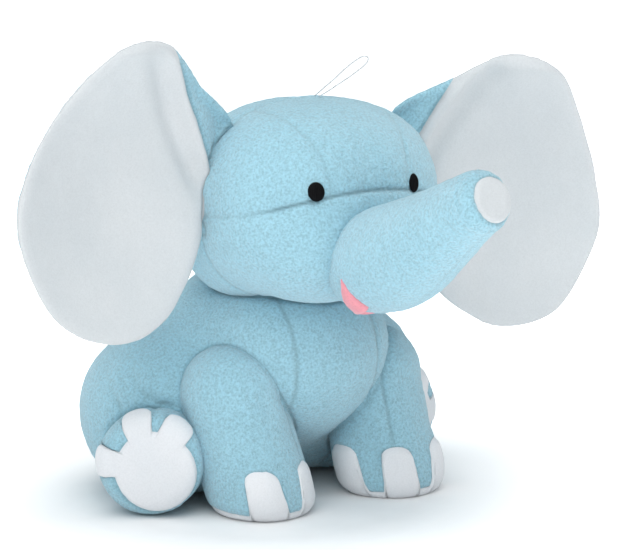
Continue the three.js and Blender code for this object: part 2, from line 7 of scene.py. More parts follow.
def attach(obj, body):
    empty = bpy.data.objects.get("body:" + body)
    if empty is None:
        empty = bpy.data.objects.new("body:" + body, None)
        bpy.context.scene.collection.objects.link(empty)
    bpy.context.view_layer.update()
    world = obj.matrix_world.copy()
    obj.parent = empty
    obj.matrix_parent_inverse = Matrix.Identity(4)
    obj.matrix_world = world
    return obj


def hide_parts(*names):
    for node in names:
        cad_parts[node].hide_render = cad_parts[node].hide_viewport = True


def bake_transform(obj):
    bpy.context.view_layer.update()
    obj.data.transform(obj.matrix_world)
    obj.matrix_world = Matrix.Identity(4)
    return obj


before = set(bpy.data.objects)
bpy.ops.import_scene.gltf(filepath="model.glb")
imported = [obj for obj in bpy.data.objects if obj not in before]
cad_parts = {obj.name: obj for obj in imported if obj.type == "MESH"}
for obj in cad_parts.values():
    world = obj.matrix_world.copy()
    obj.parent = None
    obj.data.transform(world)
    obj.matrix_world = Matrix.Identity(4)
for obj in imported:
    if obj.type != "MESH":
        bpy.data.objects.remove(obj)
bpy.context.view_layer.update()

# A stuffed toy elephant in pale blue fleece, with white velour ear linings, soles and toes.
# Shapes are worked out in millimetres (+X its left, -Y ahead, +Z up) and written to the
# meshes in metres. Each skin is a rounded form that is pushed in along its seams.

MM = 0.001
SIDES = {"left": 1, "right": -1}


def vec(*numbers):
    return np.array(numbers, float)


# ---- Camera ----

CAMERA_AZIMUTH, CAMERA_ELEVATION, CAMERA_DISTANCE = -35, 10, 1170
CAMERA_TARGET = vec(0, -45, 114)
LENS, SENSOR = 135, 36


def direction_to_camera(azimuth, elevation):
    turn, rise = np.radians(azimuth), np.radians(elevation)
    return vec(np.sin(turn) * np.cos(rise), -np.cos(turn) * np.cos(rise), np.sin(rise))


def add_camera():
    data = bpy.data.cameras.new("camera")
    data.lens, data.sensor_width = LENS, SENSOR
    camera = bpy.data.objects.new("camera", data)
    bpy.context.scene.collection.objects.link(camera)
    back = direction_to_camera(CAMERA_AZIMUTH, CAMERA_ELEVATION)
    camera.location = (CAMERA_TARGET + back * CAMERA_DISTANCE) * MM
    camera.rotation_euler = Vector(back).to_track_quat("Z", "Y").to_euler()
    bpy.context.scene.camera = camera


add_camera()

# ---- Forms: vectorised distances, in millimetres ----

HEAD = (vec(0, -45, 152), vec(65, 54, 52))
MUZZLE = (vec(0, -72, 134), vec(40, 30, 25.8))
MUZZLE_BLEND = 16
HEAD_FULLNESS, HEAD_LOW = 2.4, 46.5
JOWL, JOWL_BLEND = (vec(26, -22, 127), vec(27, 26, 22.5)), 14
FACE_BACK = -43
CHEST = (vec(0, -30, 73), vec(52, 46, 45))
RUMP = (vec(0, 8, 45), vec(64, 43, 47))
THIGH = (vec(53, 5, 42), vec(46, 46, 46))
NAPE = (vec(0, 0, 88), vec(44, 34, 32))
TORSO_BLEND = 24
TORSO_MIDDLE = vec(0, -8, 52)


def ellipsoid(points, centre, radii):
    q = points - centre
    near = np.linalg.norm(q / radii, axis=1)
    slope = np.linalg.norm(q / radii**2, axis=1)
    return near * (near - 1) / np.maximum(slope, 1e-9)


def smooth_union(a, b, blend):
    overlap = np.maximum(blend - np.abs(a - b), 0) / blend
    return np.minimum(a, b) - overlap * overlap * blend / 4


def full_ellipsoid(points, centre, radii, fullness):
    """An ellipsoid whose corners are filled out a little, as 2 is a plain one."""
    radii = np.where(points[:, 2:] < centre[2], vec(radii[0], radii[1], HEAD_LOW), radii)
    q = np.abs((points - centre) / radii)
    near = np.sum(q**fullness, axis=1) ** (1 / fullness)
    slope = np.linalg.norm(q ** (fullness - 1) / radii, axis=1) / np.maximum(near, 1e-6) ** (fullness - 1)
    return (near - 1) / np.maximum(slope, 1e-6)


def head_distance(points):
    skull = full_ellipsoid(points, *HEAD, HEAD_FULLNESS)
    head = smooth_union(skull, ellipsoid(points, *MUZZLE), MUZZLE_BLEND)
    for side in SIDES.values():
        head = smooth_union(head, ellipsoid(points * vec(side, 1, 1), *JOWL), JOWL_BLEND)
    return head


def torso_distance(points):
    body = ellipsoid(points, *CHEST)
    body = smooth_union(body, ellipsoid(points, *RUMP), TORSO_BLEND)
    for side in SIDES.values():
        thigh = ellipsoid(points * vec(side, 1, 1), *THIGH)
        body = smooth_union(body, thigh, TORSO_BLEND)
    return smooth_union(body, ellipsoid(points, *NAPE), TORSO_BLEND)


def push_out(rays, centre, distance, reach=140):
    """The point on each ray from the centre where the distance is zero."""
    low, high = np.zeros(len(rays)), np.full(len(rays), float(reach))
    for _ in range(22):
        middle = (low + high) / 2
        inside = distance(centre + rays * middle[:, None]) < 0
        low, high = np.where(inside, middle, low), np.where(inside, high, middle)
    return centre + rays * low[:, None]


def ramp(values, start, end):
    share = np.clip((values - start) / (end - start), 0, 1)
    return share * share * (3 - 2 * share)


def bell(distance, width):
    return np.exp(-((distance / width) ** 2))


def lattice_noise(points, size, seed):
    """Smooth noise from -1 to 1, one random value at each corner of a grid of that size."""
    table = np.random.default_rng(seed).random((32, 32, 32)) * 2 - 1
    q = points / size + 1000
    corner = np.floor(q).astype(int)
    f = q - corner
    f = f * f * (3 - 2 * f)
    total = np.zeros(len(points))
    for i in range(8):
        step = [(i >> k) & 1 for k in range(3)]
        weight = np.prod([f[:, k] if step[k] else 1 - f[:, k] for k in range(3)], axis=0)
        index = [(corner[:, k] + step[k]) % 32 for k in range(3)]
        total += weight * table[index[0], index[1], index[2]]
    return total


# ---- Meshes ----


def new_mesh(name, points, faces):
    mesh = bpy.data.meshes.new(name)
    mesh.from_pydata((points * MM).tolist(), [], faces)
    mesh.update()
    mesh.shade_smooth()
    obj = bpy.data.objects.new(name, mesh)
    bpy.context.scene.collection.objects.link(obj)
    return obj


def mesh_points(obj):
    flat = np.empty(len(obj.data.vertices) * 3)
    obj.data.vertices.foreach_get("co", flat)
    return flat.reshape(-1, 3) / MM


def mesh_normals(obj):
    flat = np.empty(len(obj.data.vertices) * 3)
    obj.data.vertices.foreach_get("normal", flat)
    return flat.reshape(-1, 3)


def move_points(obj, points):
    obj.data.vertices.foreach_set("co", (points * MM).ravel())
    obj.data.update()


def store(obj, name, values):
    attribute = obj.data.attributes.get(name) or obj.data.attributes.new(name, "FLOAT", "POINT")
    attribute.data.foreach_set("value", values.astype(np.float32))


def keep_points(obj, keep):
    """Deletes the vertices that aren't kept, with their faces."""
    mesh = bmesh.new()
    mesh.from_mesh(obj.data)
    mesh.verts.ensure_lookup_table()
    gone = [mesh.verts[i] for i in np.flatnonzero(~keep)]
    bmesh.ops.delete(mesh, geom=gone, context="VERTS")
    mesh.to_mesh(obj.data)
    mesh.free()


def ball_faces(subdivisions):
    """Directions and triangles of a ball, evenly divided."""
    mesh = bmesh.new()
    bmesh.ops.create_icosphere(mesh, subdivisions=subdivisions, radius=1)
    rays = np.array([v.co[:] for v in mesh.verts])
    faces = [[v.index for v in face.verts] for face in mesh.faces]
    mesh.free()
    return rays / np.linalg.norm(rays, axis=1)[:, None], faces


def tube_faces(rows, columns):
    """Quads of a tube whose rows close on themselves."""
    faces = []
    for row in range(rows - 1):
        for column in range(columns):
            beside = (column + 1) % columns
            a, b = row * columns + column, row * columns + beside
            faces.append([a, b, b + columns, a + columns])
    return faces


def end_faces(rows, columns):
    """The two flat ends of such a tube."""
    return [list(range(columns))[::-1], [(rows - 1) * columns + i for i in range(columns)]]


def fan_faces(rows, columns):
    """Triangles from a tube's last row to one point, which comes after all its rows."""
    last = (rows - 1) * columns
    return [[last + i, last + (i + 1) % columns, rows * columns] for i in range(columns)]


PILE = {"size": 1.7, "height": 0.24}
# STITCH's shade is the width in mm of the painted shade along each crease.
STITCH = {"depth": 1.2, "width": 1.2, "slope": 0.8, "reach": 6, "shade": 0.8}
PUCKER = {"size": 4.5, "height": 0.55, "reach": 7}
LUMP_SIZES = ((24, 1), (11, 0.35))


def cover(obj, creases, lumps, seed, pile=1.0):
    """Presses a skin in along its seams, paints shade into those creases through its seam attribute, and
    gives it soft lumps and the tufts of its pile.

    creases holds (distance in mm from the seam, strength), one value each per vertex, and
    may end with the reach of the seam's slopes."""
    points, normals = mesh_points(obj), mesh_normals(obj)
    inward = np.zeros(len(points))
    seam = np.zeros(len(points))
    near = np.zeros(len(points))
    for distance, strength, *width in creases:
        slope = STITCH["slope"] * bell(distance, width[0] if width else STITCH["reach"])
        inward += strength * (STITCH["depth"] * bell(distance, STITCH["width"]) + slope)
        # seam is painted shade: how far the colour darkens in each crease, kept in the seam attribute.
        seam = np.maximum(seam, strength * bell(distance, STITCH["shade"]))
        near = np.maximum(near, strength * np.exp(-np.abs(distance) / PUCKER["reach"]))
    puckers = lattice_noise(points, PUCKER["size"], seed + 1) * near * PUCKER["height"]
    soft = np.zeros(len(points))
    for i, (size, share) in enumerate(LUMP_SIZES):
        soft += lattice_noise(points, size, seed + 2 + i) * lumps * share
    tufts = lattice_noise(points, PILE["size"], seed + 4) * PILE["height"] * pile
    outward = soft + puckers + tufts - inward
    move_points(obj, points + normals * outward[:, None])
    store(obj, "seam", np.clip(seam, 0, 1))


# ---- Materials ----


def socket(material, name):
    return material.node_tree.nodes["Principled BSDF"].inputs[name]


def new_material(name, roughness, sheen=0.0, sheen_roughness=0.5):
    material = bpy.data.materials.new(name)
    material.use_nodes = True
    socket(material, "Roughness").default_value = roughness
    socket(material, "Specular IOR Level").default_value = 0.2
    socket(material, "Sheen Weight").default_value = sheen
    socket(material, "Sheen Roughness").default_value = sheen_roughness
    return material


def add_node(material, kind, **settings):
    node = material.node_tree.nodes.new(kind)
    for name, value in settings.items():
        if name in node.inputs:
            node.inputs[name].default_value = value
        else:
            setattr(node, name, value)
    return node


def colour_ramp(material, source, stops):
    node = add_node(material, "ShaderNodeValToRGB")
    elements = node.color_ramp.elements
    elements[0].position, elements[0].color = stops[0][0], (*stops[0][1], 1)
    elements[1].position, elements[1].color = stops[-1][0], (*stops[-1][1], 1)
    for position, colour in stops[1:-1]:
        elements.new(position).color = (*colour, 1)
    material.node_tree.links.new(source, node.inputs["Fac"])
    return node.outputs["Color"]


def shade_of(colour, factor):
    return tuple(channel * factor for channel in colour)


def pile_fabric(name, colour, tuft, contrast, bump, sheen=0.35):
    """A napped fabric: tufts of a given size in millimetres, finer fibres, and painted shade that darkens it
    along creases and seams, read from the seam attribute.
    """
    material = new_material(name, roughness=0.95, sheen=sheen, sheen_roughness=0.45)
    link = material.node_tree.links.new
    place = add_node(material, "ShaderNodeTexCoord").outputs["Object"]
    tufts = add_node(material, "ShaderNodeTexNoise", Scale=1000 / tuft, Detail=3.0, Roughness=0.65)
    fibres = add_node(material, "ShaderNodeTexNoise", Scale=1000 / (tuft * 0.3), Detail=2.0)
    patches = add_node(material, "ShaderNodeTexNoise", Scale=38.0, Detail=2.0)
    for node in (tufts, fibres, patches):
        link(place, node.inputs["Vector"])
    light, dark = shade_of(colour, 1 + contrast), shade_of(colour, 1 - contrast * 1.4)
    tone = colour_ramp(material, tufts.outputs["Fac"], [(0.34, dark), (0.5, colour), (0.66, light)])
    worn = add_node(material, "ShaderNodeMix", data_type="RGBA", blend_type="MULTIPLY")
    worn.inputs["Factor"].default_value = 1.0
    link(tone, worn.inputs["A"])
    drift = colour_ramp(material, patches.outputs["Fac"], [(0.3, (0.955, 0.965, 0.97)), (0.7, (1, 1, 1))])
    link(drift, worn.inputs["B"])
    # Painted shade: the colour is mixed towards half its value where the seam attribute marks a crease or
    # seam.
    seam = add_node(material, "ShaderNodeAttribute", attribute_name="seam")
    crease_shade_mix = add_node(material, "ShaderNodeMix", data_type="RGBA", blend_type="MIX")
    link(seam.outputs["Fac"], crease_shade_mix.inputs["Factor"])
    link(worn.outputs["Result"], crease_shade_mix.inputs["A"])
    crease_shade_mix.inputs["B"].default_value = (*shade_of(colour, 0.5), 1)
    link(crease_shade_mix.outputs["Result"], socket(material, "Base Color"))
    height = add_node(material, "ShaderNodeMath", operation="MULTIPLY_ADD")
    link(fibres.outputs["Fac"], height.inputs[0])
    height.inputs[1].default_value = 0.45
    link(tufts.outputs["Fac"], height.inputs[2])
    relief = add_node(material, "ShaderNodeBump", Strength=bump, Distance=tuft * MM * 0.8)
    link(height.outputs[0], relief.inputs["Height"])
    link(relief.outputs["Normal"], socket(material, "Normal"))
    return material


BLUE, WHITE, PINK = (0.365, 0.625, 0.735), (0.79, 0.795, 0.815), (0.78, 0.31, 0.36)
FLEECE = pile_fabric("pale_blue_fleece", BLUE, tuft=1.2, contrast=0.14, bump=1.0, sheen=0.5)
VELOUR = pile_fabric("white_velour", WHITE, tuft=0.9, contrast=0.025, bump=0.22, sheen=0.25)
# The ear linings and the trunk's tip are the same white velour as the soles; this greyer copy of it is
# painted shade.
SHADED_VELOUR = pile_fabric("shaded_white_velour", (0.605, 0.625, 0.64), tuft=0.9, contrast=0.03, bump=0.22, sheen=0.25)
MOUTH_VELOUR = pile_fabric("pink_velour", PINK, tuft=0.9, contrast=0.06, bump=0.3)


def stitched_thread(name, colour, width):
    """Satin stitch: parallel threads of that width in millimetres, with a slight lustre."""
    material = new_material(name, roughness=0.7)
    socket(material, "Specular IOR Level").default_value = 0.08
    link = material.node_tree.links.new
    place = add_node(material, "ShaderNodeTexCoord").outputs["Object"]
    threads = add_node(material, "ShaderNodeTexWave", Scale=1 / (width * MM * 6.28), Distortion=1.2)
    threads.wave_type, threads.bands_direction = "BANDS", "X"
    threads.inputs["Detail Scale"].default_value = 3.0
    link(place, threads.inputs["Vector"])
    tone = colour_ramp(material, threads.outputs["Fac"], [(0.1, shade_of(colour, 0.5)), (0.9, colour)])
    link(tone, socket(material, "Base Color"))
    relief = add_node(material, "ShaderNodeBump", Strength=0.6, Distance=0.0002)
    link(threads.outputs["Fac"], relief.inputs["Height"])
    link(relief.outputs["Normal"], socket(material, "Normal"))
    return material


THREAD = stitched_thread("black_thread", (0.006, 0.006, 0.007), width=0.42)


def clear_nylon():
    material = new_material("clear_nylon", roughness=0.25)
    place = add_node(material, "ShaderNodeTexCoord").outputs["Object"]
    haze = add_node(material, "ShaderNodeTexNoise", Scale=900.0, Detail=1.0)
    material.node_tree.links.new(place, haze.inputs["Vector"])
    tone = colour_ramp(material, haze.outputs["Fac"], [(0.3, (0.42, 0.44, 0.46)), (0.7, (0.62, 0.64, 0.66))])
    material.node_tree.links.new(tone, socket(material, "Base Color"))
    return material


NYLON = clear_nylon()


def finish(obj, material, slot, *nodes):
    obj.data.materials.append(material)
    if nodes:
        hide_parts(*nodes)


# ---- Hang loop ----

LOOP_DIAMETER = 0.6
LOOP_ROUTE = [
    (1.8, -47, 204.6), (6.4, -49, 208.8), (11, -51.2, 213), (15.2, -53.2, 217.3), (19.6, -55.6, 221.3),
    (23.4, -57.6, 223.8), (25.8, -58.9, 223.2), (25, -58.8, 220.6), (21.4, -57.2, 217.2),
    (16.8, -54.9, 213.5), (12, -52.7, 210.2), (7.4, -50.7, 207), (3.2, -48.9, 204.5),
]


def catmull(points, steps, closed=False):
    """A smooth curve through the points."""
    points = np.array(points, float)
    count = len(points)
    spans = count if closed else count - 1
    at = (lambda i: points[i % count]) if closed else (lambda i: points[min(max(i, 0), count - 1)])
    result = []
    for step in range(steps + (0 if closed else 1)):
        where = step * spans / steps
        i = min(int(where), spans - 1)
        t = where - i
        a, b, c, d = at(i - 1), at(i), at(i + 1), at(i + 2)
        bend = (2 * a - 5 * b + 4 * c - d) * t * t + (3 * b - a - 3 * c + d) * t**3
        result.append(0.5 * (2 * b + (c - a) * t + bend))
    return np.array(result)


def add_loop():
    route = catmull(LOOP_ROUTE, 96)
    data = bpy.data.curves.new("hang_loop_thread", "CURVE")
    data.dimensions = "3D"
    data.bevel_depth, data.bevel_resolution = LOOP_DIAMETER / 2 * MM, 3
    spline = data.splines.new("POLY")
    spline.points.add(len(route) - 1)
    for point, place in zip(spline.points, route * MM):
        point.co = (*place, 1)
    loop = bpy.data.objects.new("hang_loop_thread", data)
    bpy.context.scene.collection.objects.link(loop)
    finish(loop, NYLON, "clear_nylon", "hang_loop")
    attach(loop, "head")


add_loop()


# ---- Skins of the head and torso ----


def outward(obj):
    mesh = bmesh.new()
    mesh.from_mesh(obj.data)
    bmesh.ops.recalc_face_normals(mesh, faces=mesh.faces)
    mesh.to_mesh(obj.data)
    mesh.free()
    obj.data.shade_smooth()


def from_axis(points, start, end):
    """Distance from a line between two points, and the share of the way along it."""
    line = end - start
    share = ((points - start) @ line) / (line @ line)
    nearest = start + np.clip(share, 0, 1)[:, None] * line
    return np.linalg.norm(points - nearest, axis=1), share


def from_route(points, route):
    """Distance from a line of points, taken in order."""
    return np.min([from_axis(points, vec(*a), vec(*b))[0] for a, b in zip(route, route[1:])], axis=0)


SKIN_DETAIL = 7
THIGH_SEAM = ((95, 3, 66), (94.7, -1.8, 63), (94.6, -10.2, 57.4), (93.5, -15.9, 50.3), (92, -18, 44))
HIP_FOLD = ((87.6, -13.2, 69.2), (86.4, -20.6, 63.3), (83.1, -27.3, 57.6), (75.5, -33.7, 55.3))


HEAD_PIECES = (
    "head_back_left", "head_back_right", "forehead_left", "forehead_right", "cheek_left",
    "cheek_right", "crown_gusset", "chin_panel", "head_stuffing",
)


# The seam under the eyes falls towards the ears; the crown's strip narrows towards the eyes.
BROW = {"z": 163.3, "fall": 0.0031}
CROWN = {"half_width": 33, "y": -50, "reach": 46, "taper": 10}
EAR_HALF_THICKNESS = 2.5
BURIED = 9  # cloth deeper than this inside another form is cut away


def add_head():
    rays, faces = ball_faces(SKIN_DETAIL)
    points = push_out(rays, HEAD[0], head_distance)
    skin = new_mesh("head_skin", points, faces)
    x, y, z = np.abs(points[:, 0]), points[:, 1], points[:, 2]
    back = ramp(y, FACE_BACK - 1.5, FACE_BACK + 1.5)
    front = 1 - back
    brow = z - (BROW["z"] - BROW["fall"] * x**2)
    forward = np.maximum(CROWN["y"] - y, 0) / CROWN["reach"]
    crown = x - CROWN["half_width"] + CROWN["taper"] * forward**2
    above = ramp(brow, -1, 1)
    ring = ring_distance(points)
    clear = ramp(ring, -2, 3)
    sides = 1 - ramp(x, 44, 60) * 0.75
    # Each crease presses the skin in and paints shade into it: cover darkens the colour along it through the
    # seam attribute.
    creases = [
        (crown, front * above * 0.26, 3),
        (brow, front * clear * sides, 4),
        (y - FACE_BACK, np.full(len(points), 0.4), 3),
        (x, back * 0.6, 4),
        (ring, front, 5),
    ]
    for side in SIDES.values():
        flip = vec(side, 1, 1)
        gap = from_axis(points, HINGE_TOP * flip, HINGE_BOTTOM * flip)[0] - EAR_HALF_THICKNESS
        creases.append((gap, np.full(len(points), 0.6)))
    cover(skin, creases, lumps=0.7, seed=11)
    keep_points(skin, ring > -BURIED)
    finish(skin, FLEECE, "blue_fleece", *HEAD_PIECES)
    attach(skin, "head")


TORSO_PIECES = ("seat_panel", "chest_gusset", "torso_left_panel", "torso_right_panel", "torso_stuffing")
SEAT = {"low": 1.2, "soft": 2.2, "floor": 0.6}  # the underside lies flat, with a soft turn
GUSSET_HALF_WIDTH = 25


def add_torso():
    rays, faces = ball_faces(SKIN_DETAIL)
    points = push_out(rays, TORSO_MIDDLE, torso_distance)
    low, soft = SEAT["low"], SEAT["soft"]
    settled = low + np.log1p(np.exp((points[:, 2] - low) / soft)) * soft
    points[:, 2] = np.maximum(settled, SEAT["floor"])
    skin = new_mesh("torso_skin", points, faces)
    x, y, z = np.abs(points[:, 0]), points[:, 1], points[:, 2]
    front = 1 - ramp(y, -10, -6)
    # Each crease presses the skin in and paints shade into it: cover darkens the colour along it through the
    # seam attribute, under the head, round the limbs and in the hip fold.
    creases = [
        (x - GUSSET_HALF_WIDTH, front * 0.55 * ramp(z, 2, 6)),
        (x, (1 - front) * 0.7),
        (head_distance(points), np.full(len(points), 0.9), 9),
    ]
    for side in SIDES.values():
        for limb in (FRONT_LEG, HIND_LEG):
            gap, share = from_axis(points, root_of(limb, side), limb_end(side, limb))
            seen = 1 - limb["sunk"] * (1 - ramp(share, 0.15, 0.4))
            creases.append((gap - limb["radius"], seen, 8))
    for route, strength in ((THIGH_SEAM, 0.7), (HIP_FOLD, 1.1)):
        for flip in (vec(-1, 1, 1), vec(1, 1, 1)):
            creases.append((from_route(points * flip, route), np.full(len(points), strength), 4))
    tail_end = TAIL["root"] + TAIL_HEADING * TAIL["length"]
    tail_gap = from_axis(points, TAIL["root"], tail_end)[0] - TAIL["radius"]
    creases.append((tail_gap, np.full(len(points), 0.5)))
    cover(skin, creases, lumps=0.9, seed=21)
    keep_points(skin, head_distance(points) > -BURIED)
    finish(skin, FLEECE, "blue_fleece", *TORSO_PIECES)
    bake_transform(skin)


# ---- Limbs: a section that runs from the middle of the sole up the side to a round root ----

# band is the white end's size, shift how far it lies inwards and down, and over how much cloth
# runs on past the straight side. A lobe is a toe: its angle, half its width, and the cloth from
# the end's middle to its own. A sunk limb's root stays inside its parent.

FRONT_LEG = {
    "pivots": {"left": vec(41, -40, 57), "right": vec(44, -40, 57)},
    "foot": {"left": vec(42, -58, 0), "right": vec(36, -56, 0)}, "length": 57,
    "root": 27, "end": 26.8, "edge": 9, "over": 27 * 1.45, "radius": 26.5, "band": 26.2,
    "turn": {"left": -20, "right": -39}, "sunk": 0,
    "lobes": ((-62, 9.3, 39), (0, 9.3, 39), (62, 9.3, 39)), "puffs": (3.2, 1.2, 3.2),
    "squareness": 2.4, "seam": 0.55,
}
HIND_LEG = {
    "pivots": {"left": vec(46.5, 24.5, 26.8), "right": vec(48, 11, 26.8)}, "length": 66,
    "root": 26.5, "end": 26.3, "edge": 9, "over": 26.5 * 1.45, "radius": 26.3, "band": 20.2,
    "turn": {"left": 33, "right": 42}, "shift": (3.8, 3), "sunk": 1,
    "lobes": ((-38, 8.8, 24.5), (14, 8.8, 23.5), (86, 9.4, 22.5)), "puffs": (1.2, 1.2, 1.2),
    "squareness": 2.2, "seam": 0.55,
}
TRUNK = {
    "pivot": vec(0, -91, 131), "bends": (vec(0, -118, 123), vec(0, -155, 158)),
    "tip": vec(0, -187, 170), "length": 105, "end": 14.4, "edge": 6, "over": 17, "band": 10.8,
    "shift": (-2.2, 1.2), "seam": 0.2, "sunk": 0, "lobes": (), "puffs": (),
}
TRUNK_WIDTHS = (
    (-0.2, 21), (-0.05, 23.5), (0, 24.5), (0.1, 25.8), (0.22, 26), (0.35, 24.8), (0.55, 21.4),
    (0.8, 16.8), (1, 14.2),
)
TAIL = {"root": vec(0, 49, 38), "length": 26, "radius": 4.5, "droop": 48, "taper": 0.2, "collar": 1.1}
TAIL_HEADING = vec(0, np.cos(np.radians(TAIL["droop"])), -np.sin(np.radians(TAIL["droop"])))
LIMB_COLUMNS, LIMB_ROWS, SOLE_ROWS = 176, 130, 43


def heading(side, degrees):
    angle = np.radians(degrees)
    return np.stack([side * np.sin(angle), -np.cos(angle), np.zeros_like(angle)], axis=-1)


def name_of(side):
    return "left" if side > 0 else "right"


def root_of(limb, side):
    """Where a limb joins the torso; its numbers are given as for the left side."""
    return limb["pivots"][name_of(side)] * vec(side, 1, 1)


def limb_end(side, limb):
    if "foot" in limb:
        return limb["foot"][name_of(side)] * vec(side, 1, 1)
    return root_of(limb, side) + heading(side, limb["turn"][name_of(side)]) * limb["length"]


def profile(limb, q):
    """Radius and distance along the limb, q millimetres of cloth from the middle of its end."""
    length, end, edge = limb["length"], limb["end"], limb["edge"]
    flat, arc = end - edge, edge * np.pi / 2
    bend = np.clip((q - flat) / edge, 0, np.pi / 2)
    radius = np.minimum(q, flat) + edge * np.sin(bend)
    along = length - edge + edge * np.cos(bend)
    up = np.maximum(q - flat - arc, 0)
    side_length = length - edge
    if "root" in limb:
        root = limb["root"]
        share = np.clip(up / side_length, 0, 1)
        over = np.clip((up - side_length) / root, 0, np.pi / 2 * 0.98)
        wide = (end + (root - end) * share) * np.cos(over)
        back = side_length - np.minimum(up, side_length) - root * np.sin(over)
    else:
        back = side_length - up
        wide = smooth_interp(back / length, *np.array(TRUNK_WIDTHS).T)
    return np.where(up > 0, wide, radius), np.where(up > 0, back, along)


def smooth_interp(values, keys, numbers):
    """A smooth curve through a table of numbers."""
    fine = np.linspace(keys[0], keys[-1], 400)
    rough = np.interp(fine, keys, numbers)
    kernel = np.exp(-np.linspace(-2, 2, 61) ** 2)
    padded = np.pad(rough, 30, mode="reflect", reflect_type="odd")
    return np.interp(values, fine, np.convolve(padded, kernel / kernel.sum(), mode="valid"))


def trunk_line():
    """Points, headings and lengths along the trunk's middle line."""
    t = np.linspace(0, 1, 400)[:, None]
    a, b, c, d = TRUNK["pivot"], *TRUNK["bends"], TRUNK["tip"]
    line = a * (1 - t) ** 3 + 3 * b * t * (1 - t) ** 2 + 3 * c * t**2 * (1 - t) + d * t**3
    ahead = np.gradient(line, axis=0)
    ahead /= np.linalg.norm(ahead, axis=1)[:, None]
    run = np.concatenate([[0], np.cumsum(np.linalg.norm(np.diff(line, axis=0), axis=1))])
    return line, ahead, run / run[-1]


TRUNK_LINE = trunk_line()


def place_front_leg(side, limb):
    root = root_of(limb, side)
    lean = limb_end(side, limb) - root

    def place(radius, along, angle):
        out = heading(side, limb["turn"][name_of(side)] + angle)
        share = np.maximum(along, 0) / limb["length"]
        middle = root + lean * share[..., None]
        middle[..., 2] += np.maximum(-along, 0)
        return middle + out * radius[..., None]

    return place


def place_hind_leg(side, limb):
    ahead = heading(side, limb["turn"][name_of(side)])
    outer = np.cross(vec(0, 0, 1), ahead) * side

    def place(radius, along, angle):
        turn = np.radians(angle)[..., None]
        out = vec(0, 0, 1) * np.cos(turn) + outer * np.sin(turn)
        return root_of(limb, side) + ahead * along[..., None] + out * radius[..., None]

    return place


def place_trunk(radius, along, angle):
    line, ahead, shares = TRUNK_LINE
    share = np.clip(along / TRUNK["length"], 0, 1)
    flat = share.ravel()
    middle, forward = (
        np.stack([np.interp(flat, shares, table[:, i]) for i in range(3)], axis=1).reshape(*share.shape, 3)
        for table in (line, ahead)
    )
    middle = middle + forward * (along - share * TRUNK["length"])[..., None]
    turn = np.radians(angle)[..., None]
    up = np.cross(vec(1, 0, 0), forward)
    out = vec(1, 0, 0) * np.sin(turn) - up * np.cos(turn)
    return middle + out * radius[..., None]


TRUNK_SEAM_RADIUS = 22.5


def ring_distance(points):
    """Distance on the head from the seam that holds the trunk: below zero inside it."""
    start, end = TRUNK["pivot"] + vec(0, 20, 5), TRUNK["pivot"] + vec(0, -30, -4)
    return from_axis(points, start, end)[0] - TRUNK_SEAM_RADIUS


def edge_of(limb, angles):
    """Where the white velour of an end stops, in millimetres of cloth: a round sole with toes."""
    border = np.full(len(angles), float(limb["band"]))
    if "shift" in limb:
        inward, down = limb["shift"]
        shift, toward = np.hypot(inward, down), np.arctan2(-inward, -down)
        turn = np.radians(angles) - toward
        reach = shift * np.cos(turn) + np.sqrt(limb["band"] ** 2 - (shift * np.sin(turn)) ** 2)
        flat, edge = limb["end"] - limb["edge"], limb["edge"]
        over = edge * np.arcsin(np.clip((reach - flat) / edge, 0, 1))
        border = np.minimum(reach, flat) + over
    for middle, width, centre in limb["lobes"]:
        turn = np.radians((angles - middle + 180) % 360 - 180)
        aside = turn * limb["end"]
        inside = np.abs(aside) < width
        power = limb["squareness"]
        top = centre + width * (1 - np.minimum(np.abs(aside) / width, 1) ** power) ** (1 / power)
        border = np.where(inside, np.maximum(border, top), border)
    return border


def puffed(limb, q, angles):
    """How far the padded toes stand out of a limb."""
    out = np.zeros(q.shape)
    for (middle, width, centre), puff in zip(limb["lobes"], limb["puffs"]):
        aside = np.radians((angles - middle + 180) % 360 - 180) * limb["end"]
        out += puff * bell(aside, width * 1.15) * bell(q - centre, width * 1.25)
    return out


def cloth_length(limb):
    """Millimetres of cloth from the middle of a limb's end to the end of its root."""
    edge = limb["edge"]
    return limb["end"] - edge + edge * np.pi / 2 + (limb["length"] - edge) + limb["over"]


HEM = 1.2  # how far the blue cloth runs in under the white
PROUD, TUCKED = 0.85, 0.55  # the white stands out of the blue, and turns in at its border
LIP = 0.7  # how far the white cloth runs on past its border
ROOT_DEPTH, ROOT_REACH = 4, 24  # a sunk root is drawn this far inside, up to this far along
LIMB_BURIED = 10


